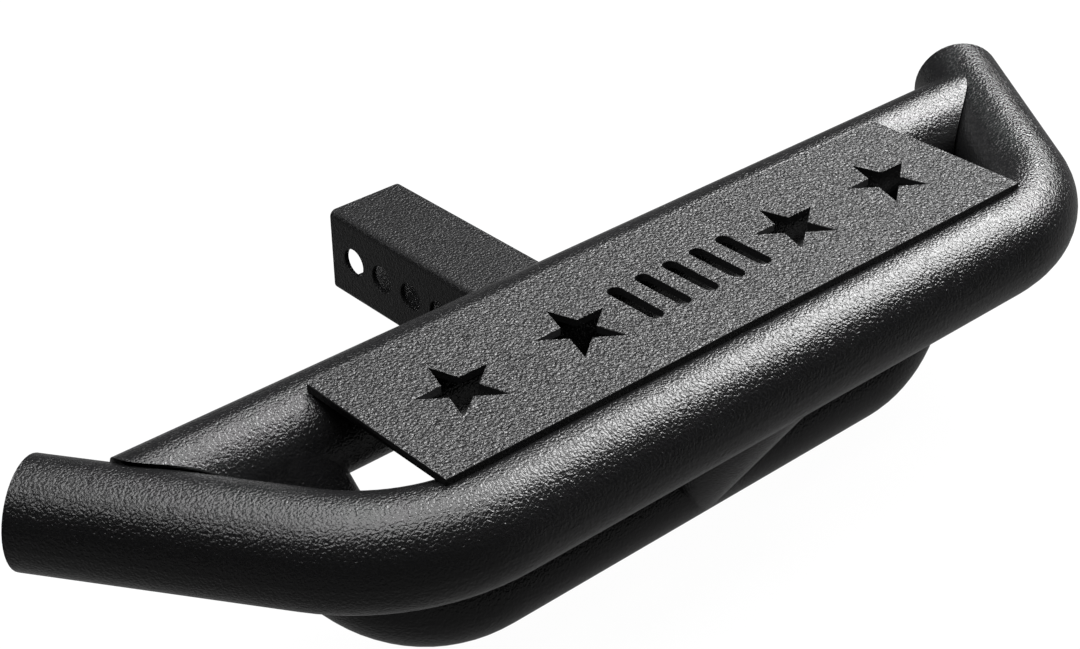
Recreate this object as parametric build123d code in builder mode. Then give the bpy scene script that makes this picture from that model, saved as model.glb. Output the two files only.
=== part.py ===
"""Hitch receiver step: a bent step bar and tread plate on a two-inch square shank, in millimetres.

The origin is the centre of the first hitch-pin hole. X runs along the pin, Y along the shank towards
the vehicle, and Z up.
"""
import os
from math import atan2, cos, hypot, pi, radians, sin, sqrt, tan

from build123d import *

os.makedirs("parts", exist_ok=True)

# Step bar: a straight run, two bends and two swept-back ends
tube_diameter = 50.8
tube_wall = 2.5
main_run = 329.0
main_bend_radius = 88.9
main_bend = 54.25
swept_reach = 136.95

# Rear cross tube, of the same stock and in the step bar's plane
tube_spacing = 106.5
notch_root = 1.0

# Lower tube, of the same stock: its run lies behind and below the step bar, with arms up to the rear tube
lower_run = 251.6
lower_bend_radius = 76.2
lower_bend = 80.0
lower_back = 57.1
lower_drop = 85.5

# Receiver shank, with its front end notched round the lower tube and the neck
shank_size = 50.8
shank_wall = 3.0
shank_corner = 4.0
shank_reach = 308.1
shank_drop = 55.45
shank_lap = 6.0
pin_hole_diameter = 16.7
pin_inset = 20.0
pin_pitch = 25.2
pin_holes = 4

# Tread plate and its cut-outs
plate_length = 376.5
plate_width = 95.2
plate_thickness = 4.0
star_radius = 22.5
star_waist = 8.6
star_points = 5
star_spacing = 70.0
inner_star_offset = 71.0
slot_length = 34.0
slot_width = 8.0
slot_pitch = 18.0
slots = 5

# Discs that close the step bar's ends
disc_thickness = 3.0
disc_chamfer = 0.8
disc_clearance = 0.1

# Stitch welds under the plate, and saddle welds between the shank and the rear cross tube
stitch_length = 60.0
stitch_pitch = 130.0
stitches = 3
stitch_width = 8.0
stitch_leg = 6.0
saddle_root = 5.0
saddle_leg = 10.0
saddle_toe = 13.0

# Places that follow from the sizes
tube_radius = tube_diameter / 2
main_y = pin_inset - shank_reach
main_z = shank_drop
rear_y = main_y + tube_spacing
lower_y = main_y + lower_back
lower_z = main_z - lower_drop
shank_top = shank_size / 2
plate_y = (main_y + rear_y) / 2
plate_setback = (tube_spacing - plate_width) / 2
plate_seat = sqrt(tube_radius**2 - plate_setback**2)

# Planes across the straight tubes, looking along X, and along the neck's axis
across_main = Plane((0, main_y, main_z), x_dir=(0, 1, 0), z_dir=(1, 0, 0))
across_rear = Plane((0, rear_y, main_z), x_dir=(0, 1, 0), z_dir=(1, 0, 0))
across_lower = Plane((0, lower_y, lower_z), x_dir=(0, 1, 0), z_dir=(1, 0, 0))
along_neck = Plane((0, lower_y, lower_z), x_dir=(1, 0, 0), z_dir=(0, -lower_back, lower_drop))
behind_neck = Plane((0, lower_y, lower_z), x_dir=(1, 0, 0), z_dir=(0, lower_drop, lower_back))
neck_length = hypot(lower_back, lower_drop)


def bent_path(run, bend_radius, bend, arm):
    """Corners of a run with the same bend and arm at both ends, in the plane of the bends."""
    tangent = bend_radius * tan(radians(bend / 2))
    corner = run / 2 + tangent
    end_x = corner + (tangent + arm) * cos(radians(bend))
    end_y = (tangent + arm) * sin(radians(bend))
    return [(-end_x, end_y), (-corner, 0), (corner, 0), (end_x, end_y)]


def star_outline():
    """Corners of a star whose first point is towards +Y."""
    corners = []
    for i in range(2 * star_points):
        reach = star_waist if i % 2 else star_radius
        turn = pi / 2 + i * pi / star_points
        corners.append((reach * cos(turn), reach * sin(turn)))
    return corners


def save(piece, name):
    """Labels a finished piece and writes it to its own file."""
    piece.part.label = name
    export_step(piece.part, f"parts/{name}.step")


# Step bar, whose ends reach the same distance back whatever the bend
main_bend_rise = main_bend_radius * (1 - cos(radians(main_bend)))
swept_length = (swept_reach - main_bend_rise) / sin(radians(main_bend))
main_corners = bent_path(main_run, main_bend_radius, main_bend, swept_length)
with BuildPart() as main_tube:
    with BuildLine(Plane((0, main_y, main_z))) as main_path:
        FilletPolyline(*main_corners, radius=main_bend_radius)
    with BuildSketch(Plane(main_path.wire() @ 0, z_dir=main_path.wire() % 0)):
        Circle(tube_radius)
        Circle(tube_radius - tube_wall, mode=Mode.SUBTRACT)
    sweep()
save(main_tube, "main_tube")

# Planes at the step bar's two ends, each facing back along its own swept end
left_end = Plane(main_path.wire() @ 0, z_dir=main_path.wire() % 0)
right_end = Plane(main_path.wire() @ 1, z_dir=-(main_path.wire() % 1))

# Rear cross tube, notched against the swept-back ends just short of where their centrelines meet
swept_start_x = main_run / 2 + main_bend_radius * sin(radians(main_bend))
rear_half = swept_start_x + (tube_spacing - main_bend_rise) / tan(radians(main_bend)) - notch_root
with BuildPart() as rear_cross_tube:
    with BuildSketch(across_rear):
        Circle(tube_radius)
        Circle(tube_radius - tube_wall, mode=Mode.SUBTRACT)
    extrude(amount=rear_half, both=True)
    with BuildSketch(left_end, right_end):
        Circle(tube_radius)
    extrude(amount=swept_length, mode=Mode.SUBTRACT)
save(rear_cross_tube, "rear_cross_tube")

# Lower tube, in a plane through the rear cross tube's axis, with its arms notched round that tube
lean = atan2(lower_drop, tube_spacing - lower_back)
lean_length = hypot(lower_drop, tube_spacing - lower_back)
lower_bend_rise = lower_bend_radius * (1 - cos(radians(lower_bend)))
arm_length = (lean_length - lower_bend_rise) / sin(radians(lower_bend)) - notch_root
lower_corners = bent_path(lower_run, lower_bend_radius, lower_bend, arm_length)
lower_plane = Plane((0, lower_y, lower_z), x_dir=(1, 0, 0), z_dir=(0, -sin(lean), cos(lean)))
with BuildPart() as lower_tube:
    with BuildLine(lower_plane) as lower_path:
        FilletPolyline(*lower_corners, radius=lower_bend_radius)
    with BuildSketch(Plane(lower_path.wire() @ 0, z_dir=lower_path.wire() % 0)):
        Circle(tube_radius)
        Circle(tube_radius - tube_wall, mode=Mode.SUBTRACT)
    sweep()
    with BuildSketch(across_rear):
        Circle(tube_radius)
    extrude(amount=rear_half, both=True, mode=Mode.SUBTRACT)
save(lower_tube, "lower_tube")

# Neck between the lower tube and the step bar
with BuildPart() as neck_tube:
    with BuildSketch(along_neck.offset(notch_root)):
        Circle(tube_radius)
        Circle(tube_radius - tube_wall, mode=Mode.SUBTRACT)
    extrude(amount=neck_length - 2 * notch_root)
    with BuildSketch(across_lower):
        Circle(tube_radius)
    extrude(amount=lower_run / 2, both=True, mode=Mode.SUBTRACT)
    with BuildSketch(across_main):
        Circle(tube_radius)
    extrude(amount=main_run / 2, both=True, mode=Mode.SUBTRACT)
save(neck_tube, "neck_tube")

# Receiver shank
with BuildPart() as receiver_shank:
    with BuildSketch(Plane((0, pin_inset, 0), x_dir=(1, 0, 0), z_dir=(0, -1, 0))):
        RectangleRounded(shank_size, shank_size, shank_corner)
        shank_bore = shank_size - 2 * shank_wall
        RectangleRounded(shank_bore, shank_bore, shank_corner - shank_wall, mode=Mode.SUBTRACT)
    extrude(amount=shank_reach)
    split(bisect_by=behind_neck.offset(shank_lap), keep=Keep.TOP)
    with BuildSketch(along_neck):
        Circle(tube_radius)
    extrude(amount=neck_length, mode=Mode.SUBTRACT)
    with BuildSketch(across_lower):
        Circle(tube_radius)
    extrude(amount=lower_run / 2, both=True, mode=Mode.SUBTRACT)
    with Locations(*[(0, -i * pin_pitch, 0) for i in range(pin_holes)]):
        Cylinder(pin_hole_diameter / 2, shank_size, rotation=(0, 90, 0), mode=Mode.SUBTRACT)
save(receiver_shank, "receiver_shank")

# Tread plate, whose long lower edges rest on both tubes, with its front corners coped over the bends
with BuildPart() as step_plate:
    with BuildSketch(Plane((0, plate_y, main_z + plate_seat))):
        Rectangle(plate_length, plate_width)
        outer_star_offset = inner_star_offset + star_spacing
        star_places = [-outer_star_offset, -inner_star_offset, inner_star_offset, outer_star_offset]
        with Locations(*[(x, 0) for x in star_places]):
            Polygon(*star_outline(), align=None, mode=Mode.SUBTRACT)
        with GridLocations(slot_pitch, 1, slots, 1):
            SlotOverall(slot_length, slot_width, rotation=90, mode=Mode.SUBTRACT)
    extrude(amount=plate_thickness)
    for side, first_angle in ((1, -90), (-1, -90 - main_bend)):
        with Locations((side * main_run / 2, main_y + main_bend_radius, main_z)):
            Torus(
                main_bend_radius,
                tube_radius,
                major_angle=main_bend,
                rotation=(0, 0, first_angle),
                align=None,
                mode=Mode.SUBTRACT,
            )
save(step_plate, "step_plate")

# Discs set flush in the step bar's ends
for end, side in ((left_end, "left"), (right_end, "right")):
    with BuildPart() as end_disc:
        with BuildSketch(end):
            Circle(tube_radius - tube_wall - disc_clearance)
        extrude(amount=disc_thickness)
        chamfer(end_disc.edges().filter_by(GeomType.CIRCLE).sort_by_distance(end.origin)[0], disc_chamfer)
    save(end_disc, f"end_disc_{side}")

# Stitch welds in the corner between the plate's underside and each tube
stitch_corners = [
    (plate_setback, plate_seat),
    (plate_setback + stitch_width, plate_seat),
    (plate_setback + stitch_leg, sqrt(tube_radius**2 - (plate_setback + stitch_leg) ** 2)),
]
for tube_y, inward, side in ((main_y, 1, "front"), (rear_y, -1, "rear")):
    with BuildPart() as plate_welds:
        for i in range(stitches):
            stitch_x = (i - (stitches - 1) / 2) * stitch_pitch
            with BuildSketch(Plane((stitch_x, tube_y, main_z), x_dir=(0, inward, 0), z_dir=(inward, 0, 0))):
                Polygon(*stitch_corners, align=None)
                Circle(tube_radius, mode=Mode.SUBTRACT)
            extrude(amount=stitch_length / 2, both=True)
    save(plate_welds, f"plate_welds_{side}")

# Saddle welds, one on each side of the rear cross tube
saddle_corners = [
    (saddle_root, shank_top - main_z),
    (saddle_root + saddle_leg, shank_top - main_z),
    (saddle_toe, -sqrt(tube_radius**2 - saddle_toe**2)),
    (saddle_root, -sqrt(tube_radius**2 - saddle_root**2)),
]
with BuildPart() as shank_saddle_welds:
    with BuildSketch(across_rear):
        Polygon(*saddle_corners, align=None)
        mirror(about=Plane.YZ)
        Circle(tube_radius, mode=Mode.SUBTRACT)
    extrude(amount=shank_size / 2 - shank_corner, both=True)
save(shank_saddle_welds, "shank_saddle_welds")
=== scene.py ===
"""Dresses the hitch receiver step in its textured black powder coat.

Lengths are in metres, in the part's own frame.
"""

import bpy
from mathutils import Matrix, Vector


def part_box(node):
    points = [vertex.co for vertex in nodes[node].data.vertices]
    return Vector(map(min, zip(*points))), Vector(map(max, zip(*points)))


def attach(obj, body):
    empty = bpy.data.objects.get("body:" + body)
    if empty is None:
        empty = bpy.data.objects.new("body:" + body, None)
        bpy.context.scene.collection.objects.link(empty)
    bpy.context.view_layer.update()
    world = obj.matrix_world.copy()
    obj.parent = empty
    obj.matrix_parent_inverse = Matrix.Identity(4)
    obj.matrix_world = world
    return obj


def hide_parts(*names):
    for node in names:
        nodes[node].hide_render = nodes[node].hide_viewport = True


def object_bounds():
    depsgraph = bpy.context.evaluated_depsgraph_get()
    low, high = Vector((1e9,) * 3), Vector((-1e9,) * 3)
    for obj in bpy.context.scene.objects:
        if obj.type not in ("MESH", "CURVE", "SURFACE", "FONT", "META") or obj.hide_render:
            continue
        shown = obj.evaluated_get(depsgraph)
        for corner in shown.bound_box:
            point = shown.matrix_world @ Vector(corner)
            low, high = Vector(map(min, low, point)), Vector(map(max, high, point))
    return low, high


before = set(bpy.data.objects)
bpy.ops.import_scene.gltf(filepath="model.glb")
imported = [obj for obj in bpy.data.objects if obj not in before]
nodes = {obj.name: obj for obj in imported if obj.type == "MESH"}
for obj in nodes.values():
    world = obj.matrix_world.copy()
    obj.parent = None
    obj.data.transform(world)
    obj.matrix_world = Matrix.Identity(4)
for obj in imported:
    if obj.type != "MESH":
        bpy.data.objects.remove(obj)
cad_box = [list(corner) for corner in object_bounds()]

from math import copysign, radians, sin, sqrt

import bmesh
import bpy
from mathutils import Matrix, Vector

scene = bpy.context.scene

# Meshes: what counts as one point, a flat, a sharp edge and a level face, and the flats' weight
MERGE_DISTANCE = 1e-6
FLAT_ANGLE = radians(0.5)
SHARP_ANGLE = radians(50)
LEVEL_NORMAL = 0.5
FLAT_WEIGHT = 100

# Cut edges: rounding by the coat, on the plate's top and on the shank from its pin holes back
COATED_EDGE = 0.0004
COATED_EDGE_STEPS = 2
PIN_ROW_FRONT = -0.1

# Joint between the rear tube and the swept-back ends
SWEPT_ANGLE = radians(54.25)
WELD_GROOVE = 0.002
RIM_BAND = 0.0005

# Weld beads: ripples along X, sunk by a share of their radius into the open face of the weld
RIPPLE_PITCH = 0.0027
RIPPLE_TILT = radians(18)
RIPPLE_SINK = 0.7
STITCH_RADII = (0.0021, 0.0019, 0.0018)
SADDLE_RADII = (0.0023, 0.0034, 0.0047)

# Colours of the coat
DEEP_BLACK = (0.0045, 0.0045, 0.0047, 1.0)
SOFT_BLACK = (0.0075, 0.0075, 0.0078, 1.0)

# Studio: glow of the floor and the surround to the camera, and to everything else
WHITE = (1.0, 1.0, 1.0, 1.0)
PALE_GLOW = 0.98
NEAR_FLOOR_GLOW = 0.21
FAR_FLOOR_GLOW = 0.06
SURROUND_GLOW = 0.012
FLOOR_HALF_SIZE = 6.0
FLOOR_CLEARANCE = 0.0005
MIDDLE = (0.0, -0.22, 0.05)

# Camera: the photograph's frame, focal length and centre in pixels, and the fitted place and axes
FRAME_WIDTH = 1080
FRAME_HEIGHT = 649
FOCAL_LENGTH = 2048.24
CENTRE_X = 525.47
CENTRE_Y = 331.09
SENSOR_WIDTH = 36.0
CAMERA_PLACE = (-0.60343, -0.80993, 0.57571)
CAMERA_SIGHT = (0.555779, 0.638906, -0.531892)
CAMERA_RIGHT = (0.749449, -0.661952, -0.012028)


def add_node(tree, kind, place, **values):
    """Adds a node at a place in the tree's layout and sets its own options."""
    node = tree.nodes.new(kind)
    node.location = place
    for name, value in values.items():
        setattr(node, name, value)
    return node


def powder_grain_group():
    """Pebbled powder coat: a height for bump, a tone for colour and a gloss for roughness."""
    group = bpy.data.node_groups.new("powder_grain", "ShaderNodeTree")
    socket = group.interface.new_socket
    socket("Position", in_out="INPUT", socket_type="NodeSocketVector")
    socket("Grains per Metre", in_out="INPUT", socket_type="NodeSocketFloat")
    for name in ("Height", "Tone", "Gloss"):
        socket(name, in_out="OUTPUT", socket_type="NodeSocketFloat")
    link = group.links.new
    inside = add_node(group, "NodeGroupInput", (-700, 0))
    outside = add_node(group, "NodeGroupOutput", (400, 0))
    pebbles = add_node(group, "ShaderNodeTexNoise", (-400, 200))
    pebbles.inputs["Detail"].default_value = 1.0
    pebbles.inputs["Roughness"].default_value = 0.45
    pebbles.inputs["Distortion"].default_value = 0.4
    link(inside.outputs["Position"], pebbles.inputs["Vector"])
    link(inside.outputs["Grains per Metre"], pebbles.inputs["Scale"])
    link(pebbles.outputs["Fac"], outside.inputs["Height"])
    drift = add_node(group, "ShaderNodeTexNoise", (-400, -100))
    drift.inputs["Scale"].default_value = 14.0
    drift.inputs["Detail"].default_value = 3.0
    link(inside.outputs["Position"], drift.inputs["Vector"])
    link(drift.outputs["Fac"], outside.inputs["Tone"])
    gloss = add_node(group, "ShaderNodeMapRange", (100, -200))
    gloss.inputs["From Min"].default_value = 0.35
    gloss.inputs["From Max"].default_value = 0.65
    link(pebbles.outputs["Fac"], gloss.inputs["Value"])
    link(gloss.outputs["Result"], outside.inputs["Gloss"])
    return group


def coat_material(name, grain, grains_per_metre, pebble_height, smoothest, roughest, shine):
    """Black powder coat whose grain, depth and gloss suit one kind of surface."""
    material = bpy.data.materials.new(name)
    material.use_nodes = True
    tree = material.node_tree
    tree.nodes.clear()
    link = tree.links.new
    output = add_node(tree, "ShaderNodeOutputMaterial", (600, 0))
    surface = add_node(tree, "ShaderNodeBsdfPrincipled", (300, 0))
    surface.inputs["Specular IOR Level"].default_value = shine
    link(surface.outputs["BSDF"], output.inputs["Surface"])
    place = add_node(tree, "ShaderNodeTexCoord", (-900, 0))
    effect = add_node(tree, "ShaderNodeGroup", (-700, 0), node_tree=grain)
    effect.inputs["Grains per Metre"].default_value = grains_per_metre
    link(place.outputs["Object"], effect.inputs["Position"])
    black = add_node(tree, "ShaderNodeValToRGB", (-400, 250))
    black.color_ramp.elements[0].color = DEEP_BLACK
    black.color_ramp.elements[1].color = SOFT_BLACK
    link(effect.outputs["Tone"], black.inputs["Fac"])
    link(black.outputs["Color"], surface.inputs["Base Color"])
    rough = add_node(tree, "ShaderNodeMapRange", (-400, 0))
    rough.inputs["To Min"].default_value = smoothest
    rough.inputs["To Max"].default_value = roughest
    link(effect.outputs["Gloss"], rough.inputs["Value"])
    link(rough.outputs["Result"], surface.inputs["Roughness"])
    bump = add_node(tree, "ShaderNodeBump", (0, -250))
    bump.inputs["Strength"].default_value = 1.0
    bump.inputs["Distance"].default_value = pebble_height
    link(effect.outputs["Height"], bump.inputs["Height"])
    link(bump.outputs["Normal"], surface.inputs["Normal"])
    return material


def floor_material():
    """Pale sheet that glows into the coat's underside, less further out, and clear from below."""
    material = bpy.data.materials.new("pale_floor")
    material.use_nodes = True
    tree = material.node_tree
    link = tree.links.new
    surface = tree.nodes["Principled BSDF"]
    surface.inputs["Base Color"].default_value = (0.02, 0.02, 0.02, 1.0)
    surface.inputs["Roughness"].default_value = 0.9
    surface.inputs["Specular IOR Level"].default_value = 0.0
    surface.inputs["Emission Color"].default_value = WHITE
    place = add_node(tree, "ShaderNodeTexCoord", (-900, -200))
    reach = add_node(tree, "ShaderNodeVectorMath", (-700, -200), operation="LENGTH")
    link(place.outputs["Object"], reach.inputs[0])
    fade = add_node(tree, "ShaderNodeMapRange", (-500, -200), interpolation_type="SMOOTHSTEP")
    fade.inputs["From Min"].default_value = 0.2
    fade.inputs["From Max"].default_value = 1.6
    fade.inputs["To Min"].default_value = NEAR_FLOOR_GLOW
    fade.inputs["To Max"].default_value = FAR_FLOOR_GLOW
    link(reach.outputs["Value"], fade.inputs["Value"])
    ray = add_node(tree, "ShaderNodeLightPath", (-500, 200))
    glow = add_node(tree, "ShaderNodeMapRange", (-300, 0))
    glow.inputs["To Max"].default_value = PALE_GLOW
    link(fade.outputs["Result"], glow.inputs["To Min"])
    link(ray.outputs["Is Camera Ray"], glow.inputs["Value"])
    link(glow.outputs["Result"], surface.inputs["Emission Strength"])
    side = add_node(tree, "ShaderNodeNewGeometry", (0, 400))
    clear = add_node(tree, "ShaderNodeBsdfTransparent", (0, 150))
    one_sided = add_node(tree, "ShaderNodeMixShader", (300, 200))
    link(side.outputs["Backfacing"], one_sided.inputs["Fac"])
    link(surface.outputs["BSDF"], one_sided.inputs[1])
    link(clear.outputs["BSDF"], one_sided.inputs[2])
    link(one_sided.outputs["Shader"], tree.nodes["Material Output"].inputs["Surface"])
    return material


def pale_surround():
    """Surround as pale as the floor to look at, that adds little light of its own."""
    world = bpy.data.worlds.new("pale_surround")
    world.use_nodes = True
    tree = world.node_tree
    background = tree.nodes["Background"]
    background.inputs["Color"].default_value = WHITE
    ray = add_node(tree, "ShaderNodeLightPath", (-400, 0))
    glow = add_node(tree, "ShaderNodeMapRange", (-200, 0))
    glow.inputs["To Min"].default_value = SURROUND_GLOW
    glow.inputs["To Max"].default_value = PALE_GLOW
    tree.links.new(ray.outputs["Is Camera Ray"], glow.inputs["Value"])
    tree.links.new(glow.outputs["Result"], background.inputs["Strength"])
    return world


def merged_copy(node_name):
    """A CAD node's mesh with its loose triangles joined up."""
    form = bmesh.new()
    form.from_mesh(nodes[node_name].data)
    bmesh.ops.remove_doubles(form, verts=form.verts, dist=MERGE_DISTANCE)
    return form


def add_piece(name, mesh, node_name):
    """Puts a finished mesh in the scene in place of its CAD node."""
    piece = bpy.data.objects.new(name, mesh)
    scene.collection.objects.link(piece)
    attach(piece, "root")
    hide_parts(node_name)


def draft_object(form, *materials):
    """A bmesh as an object that waits for its modifiers."""
    mesh = bpy.data.meshes.new("draft")
    form.to_mesh(mesh)
    form.free()
    for material in materials:
        mesh.materials.append(material)
    draft = bpy.data.objects.new("draft", mesh)
    scene.collection.objects.link(draft)
    return draft


def evaluated_mesh(draft, name):
    """The mesh that a draft object's modifiers give. The draft is removed."""
    bpy.context.view_layer.update()
    graph = bpy.context.evaluated_depsgraph_get()
    mesh = bpy.data.meshes.new_from_object(
        draft.evaluated_get(graph), preserve_all_data_layers=True, depsgraph=graph
    )
    mesh.name = name
    bpy.data.objects.remove(draft)
    return mesh


def rounded_copy(node_name, is_exposed):
    """A merged copy of a CAD node whose exposed sharp edges are rounded as the coat does."""
    form = merged_copy(node_name)
    bmesh.ops.dissolve_limit(form, angle_limit=FLAT_ANGLE, verts=form.verts, edges=form.edges)
    form.normal_update()
    edges = []
    for edge in form.edges:
        is_sharp = edge.calc_face_angle(0.0) > SHARP_ANGLE
        if is_sharp and all(is_exposed(vertex.co) for vertex in edge.verts):
            edges.append(edge)
    bmesh.ops.bevel(
        form,
        geom=edges,
        offset=COATED_EDGE,
        offset_type="OFFSET",
        segments=COATED_EDGE_STEPS,
        profile=0.5,
        affect="EDGES",
    )
    form.normal_update()
    return form


def even_flats(draft):
    """Shades a draft's curves smoothly and keeps its flats flat."""
    draft.data.shade_smooth()
    draft.data.set_sharp_from_angle(angle=SHARP_ANGLE)
    even = draft.modifiers.new("even_flats", "WEIGHTED_NORMAL")
    even.weight = FLAT_WEIGHT
    even.keep_sharp = True
    return draft


def tread_plate(top_coat, wall_shade_coat):
    """The plate with its upper edges rounded, and on the walls of its cut-outs a dull low-shine
    coat whose darkness is painted shade.
    """
    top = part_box("step_plate")[1].z
    form = rounded_copy("step_plate", lambda place: place.z > top - COATED_EDGE)
    # Steep faces take the dull second coat: painted shade on the walls
    for face in form.faces:
        face.material_index = 0 if abs(face.normal.z) > LEVEL_NORMAL else 1
    draft = even_flats(draft_object(form, top_coat, wall_shade_coat))
    add_piece("tread_plate", evaluated_mesh(draft, "tread_plate"), "step_plate")


def square_shank(coat):
    """The shank with its open end and its pin holes rounded by the coat."""
    form = rounded_copy("receiver_shank", lambda place: place.y > PIN_ROW_FRONT)
    draft = even_flats(draft_object(form, coat))
    add_piece("square_shank", evaluated_mesh(draft, "square_shank"), "receiver_shank")


def notched_rear_tube(coat, groove_shade_coat):
    """The rear tube with rims coped clear of the swept-back ends, which leaves a weld groove
    darkened by a dull low-shine coat as painted shade.
    """
    form = merged_copy("rear_cross_tube")
    low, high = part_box("rear_cross_tube")
    axis = (low + high) / 2
    radius = (high.z - low.z) / 2
    rim = {vertex for vertex in form.verts if (vertex.co - axis).yz.length > radius - RIM_BAND}
    for vertex in rim:
        height = min(abs(vertex.co.z - axis.z), radius)
        gap = sqrt((radius + WELD_GROOVE) ** 2 - height**2) - sqrt(radius**2 - height**2)
        vertex.co.x -= copysign(gap / sin(SWEPT_ANGLE), vertex.co.x)
    # Faces of the groove take the dull second coat: painted shade in the crease
    for face in form.faces:
        on_rim = sum(vertex in rim for vertex in face.verts)
        face.material_index = int(0 < on_rim < len(face.verts))
    draft = even_flats(draft_object(form, coat, groove_shade_coat))
    mesh = evaluated_mesh(draft, "notched_rear_tube")
    add_piece("notched_rear_tube", mesh, "rear_cross_tube")


def weld_ripple_tree():
    """Lays overlapping ripples along a weld's line."""
    tree = bpy.data.node_groups.new("weld_ripples", "GeometryNodeTree")
    socket = tree.interface.new_socket
    socket("Weld Lines", in_out="INPUT", socket_type="NodeSocketGeometry")
    socket("Ripple Pitch", in_out="INPUT", socket_type="NodeSocketFloat")
    socket("Ripple Radii", in_out="INPUT", socket_type="NodeSocketVector")
    socket("Coat", in_out="INPUT", socket_type="NodeSocketMaterial")
    socket("Beads", in_out="OUTPUT", socket_type="NodeSocketGeometry")
    link = tree.links.new
    inside = add_node(tree, "NodeGroupInput", (-900, 0))
    outside = add_node(tree, "NodeGroupOutput", (900, 0))
    line = add_node(tree, "GeometryNodeMeshToCurve", (-700, 0))
    spaced = add_node(tree, "GeometryNodeResampleCurve", (-500, 0), mode="LENGTH")
    ripple = add_node(tree, "GeometryNodeMeshUVSphere", (-500, -250))
    ripple.inputs["Segments"].default_value = 12
    ripple.inputs["Rings"].default_value = 7
    ripple.inputs["Radius"].default_value = 1.0
    smooth = add_node(tree, "GeometryNodeSetShadeSmooth", (-250, -250))
    row = add_node(tree, "GeometryNodeInstanceOnPoints", (0, 0))
    row.inputs["Rotation"].default_value = (0.0, RIPPLE_TILT, 0.0)
    solid = add_node(tree, "GeometryNodeRealizeInstances", (300, 0))
    coated = add_node(tree, "GeometryNodeSetMaterial", (600, 0))
    link(inside.outputs["Weld Lines"], line.inputs["Mesh"])
    link(line.outputs["Curve"], spaced.inputs["Curve"])
    link(inside.outputs["Ripple Pitch"], spaced.inputs["Length"])
    link(spaced.outputs["Curve"], row.inputs["Points"])
    link(ripple.outputs["Mesh"], smooth.inputs["Geometry"])
    link(smooth.outputs["Geometry"], row.inputs["Instance"])
    link(inside.outputs["Ripple Radii"], row.inputs["Scale"])
    link(row.outputs["Instances"], solid.inputs["Geometry"])
    link(solid.outputs["Geometry"], coated.inputs["Geometry"])
    link(inside.outputs["Coat"], coated.inputs["Material"])
    link(coated.outputs["Geometry"], outside.inputs["Beads"])
    return tree


def weld_boxes(node_name):
    """Lowest and highest corner of each separate bead in a weld's CAD node, in order along X."""
    form = merged_copy(node_name)
    waiting = set(form.verts)
    boxes = []
    while waiting:
        bead = []
        found = [waiting.pop()]
        while found:
            vertex = found.pop()
            bead.append(vertex.co.copy())
            for edge in vertex.link_edges:
                other = edge.other_vert(vertex)
                if other in waiting:
                    waiting.remove(other)
                    found.append(other)
        low = Vector([min(point[axis] for point in bead) for axis in range(3)])
        high = Vector([max(point[axis] for point in bead) for axis in range(3)])
        boxes.append((low, high))
    form.free()
    return sorted(boxes, key=lambda box: tuple(box[0]))


def rippled_welds(name, node_name, ripples, radii, tube_axis_y, coat):
    """Rippled beads along X, on the face of each weld that looks away from its tube's axis."""
    form = bmesh.new()
    for low, high in weld_boxes(node_name):
        centre = (low + high) / 2
        outward = copysign(1.0, centre.y - tube_axis_y)
        open_face = high.y if outward > 0 else low.y
        bead_y = open_face - outward * RIPPLE_SINK * radii[1]
        first = form.verts.new((low.x + radii[0], bead_y, centre.z))
        last = form.verts.new((high.x - radii[0], bead_y, centre.z))
        form.edges.new((first, last))
    draft = draft_object(form)
    bead = draft.modifiers.new("ripples", "NODES")
    bead.node_group = ripples
    sockets = ripples.interface.items_tree
    inputs = {item.name: item.identifier for item in sockets if item.in_out == "INPUT"}
    bead[inputs["Ripple Pitch"]] = RIPPLE_PITCH
    bead[inputs["Ripple Radii"]] = radii
    bead[inputs["Coat"]] = coat
    mesh = evaluated_mesh(draft, name)
    mesh.materials.clear()
    mesh.materials.append(coat)
    add_piece(name, mesh, node_name)


def area_light(name, place, width, depth, power):
    """A soft rectangular studio panel aimed at the middle of the step."""
    data = bpy.data.lights.new(name, "AREA")
    data.shape = "RECTANGLE"
    data.size = width
    data.size_y = depth
    data.energy = power
    light = bpy.data.objects.new(name, data)
    scene.collection.objects.link(light)
    light.location = place
    aim = Vector(MIDDLE) - Vector(place)
    light.rotation_euler = aim.to_track_quat("-Z", "Y").to_euler()


# Powder coat: one kind of grain, deepest on the tread, and a dull low-shine copy that paints
# shade on cut walls and in the weld groove
grain = powder_grain_group()
tube_coat = coat_material(
    "tube_powder_coat",
    grain,
    grains_per_metre=780.0,
    pebble_height=0.0005,
    smoothest=0.18,
    roughest=0.26,
    shine=0.3,
)
plate_coat = coat_material(
    "plate_powder_coat",
    grain,
    grains_per_metre=720.0,
    pebble_height=0.0015,
    smoothest=0.27,
    roughest=0.36,
    shine=0.36,
)
# Dull low-shine copy of the one coat: painted shade on the plate's walls and in the rear tube's
# weld groove
painted_shade_coat = coat_material(
    "dull_shade_coat",
    grain,
    grains_per_metre=900.0,
    pebble_height=0.0003,
    smoothest=0.45,
    roughest=0.55,
    shine=0.1,
)
shank_coat = coat_material(
    "shank_powder_coat",
    grain,
    grains_per_metre=800.0,
    pebble_height=0.0008,
    smoothest=0.24,
    roughest=0.34,
    shine=0.15,
)
for node in nodes.values():
    node.data.materials.clear()
    node.data.materials.append(tube_coat)

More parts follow.
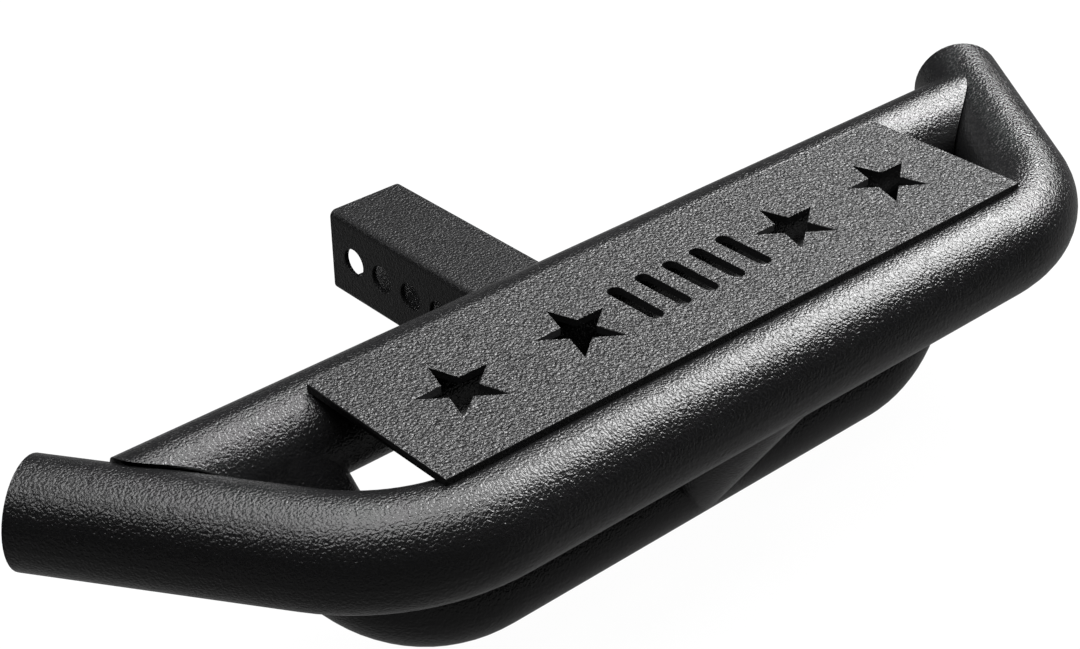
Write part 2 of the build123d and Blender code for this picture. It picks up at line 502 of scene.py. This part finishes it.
# Pieces that stand for their CAD nodes
tread_plate(plate_coat, painted_shade_coat)
square_shank(shank_coat)
notched_rear_tube(tube_coat, painted_shade_coat)
ripples = weld_ripple_tree()
rear_low, rear_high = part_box("rear_cross_tube")
rear_axis_y = (rear_low.y + rear_high.y) / 2
main_axis_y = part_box("main_tube")[0].y + (rear_high.y - rear_low.y) / 2
for name, node_name, radii, tube_axis_y in (
    ("front_stitch_welds", "plate_welds_front", STITCH_RADII, main_axis_y),
    ("rear_stitch_welds", "plate_welds_rear", STITCH_RADII, rear_axis_y),
    ("saddle_welds", "shank_saddle_welds", SADDLE_RADII, rear_axis_y),
):
    rippled_welds(name, node_name, ripples, radii, tube_axis_y, tube_coat)

# Studio: a pale floor just under the lower tube, with soft panels around
floor_mesh = bpy.data.meshes.new("studio_floor")
floor_form = bmesh.new()
floor_place = (0, 0, cad_box[0][2] - FLOOR_CLEARANCE)
bmesh.ops.create_grid(floor_form, x_segments=1, y_segments=1, size=FLOOR_HALF_SIZE)
bmesh.ops.translate(floor_form, verts=floor_form.verts, vec=floor_place)
floor_form.to_mesh(floor_mesh)
floor_form.free()
floor_mesh.materials.append(floor_material())
floor = bpy.data.objects.new("studio_floor", floor_mesh)
scene.collection.objects.link(floor)
floor.visible_diffuse = False

area_light("key_panel", (1.92, 0.02, 1.82), width=1.9, depth=1.4, power=188.0)
area_light("ceiling_panel", (-0.1, -0.2, 1.25), width=1.0, depth=1.0, power=28.0)
area_light("left_panel", (-0.89, -0.06, 1.12), width=0.4, depth=0.4, power=3.8)
area_light("back_panel", (0.40, 0.62, 1.36), width=0.5, depth=0.5, power=8.0)
area_light("rear_panel", (-0.73, 1.35, 1.05), width=1.2, depth=1.0, power=8.0)
area_light("front_card", (-0.7, -2.2, 0.4), width=3.0, depth=2.0, power=1.1)
scene.world = pale_surround()
scene.view_settings.view_transform = "Standard"

# Camera: fitted to the photograph's outlines
camera_data = bpy.data.cameras.new("camera")
camera_data.sensor_fit = "HORIZONTAL"
camera_data.sensor_width = SENSOR_WIDTH
camera_data.lens = FOCAL_LENGTH / FRAME_WIDTH * SENSOR_WIDTH
camera_data.shift_x = (FRAME_WIDTH / 2 - CENTRE_X) / FRAME_WIDTH
camera_data.shift_y = (CENTRE_Y - FRAME_HEIGHT / 2) / FRAME_WIDTH
camera = bpy.data.objects.new("camera", camera_data)
scene.collection.objects.link(camera)
sight = Vector(CAMERA_SIGHT)
right = Vector(CAMERA_RIGHT)
axes = Matrix((right, right.cross(sight), -sight)).transposed()
camera.matrix_world = Matrix.Translation(CAMERA_PLACE) @ axes.to_4x4()
scene.camera = camera
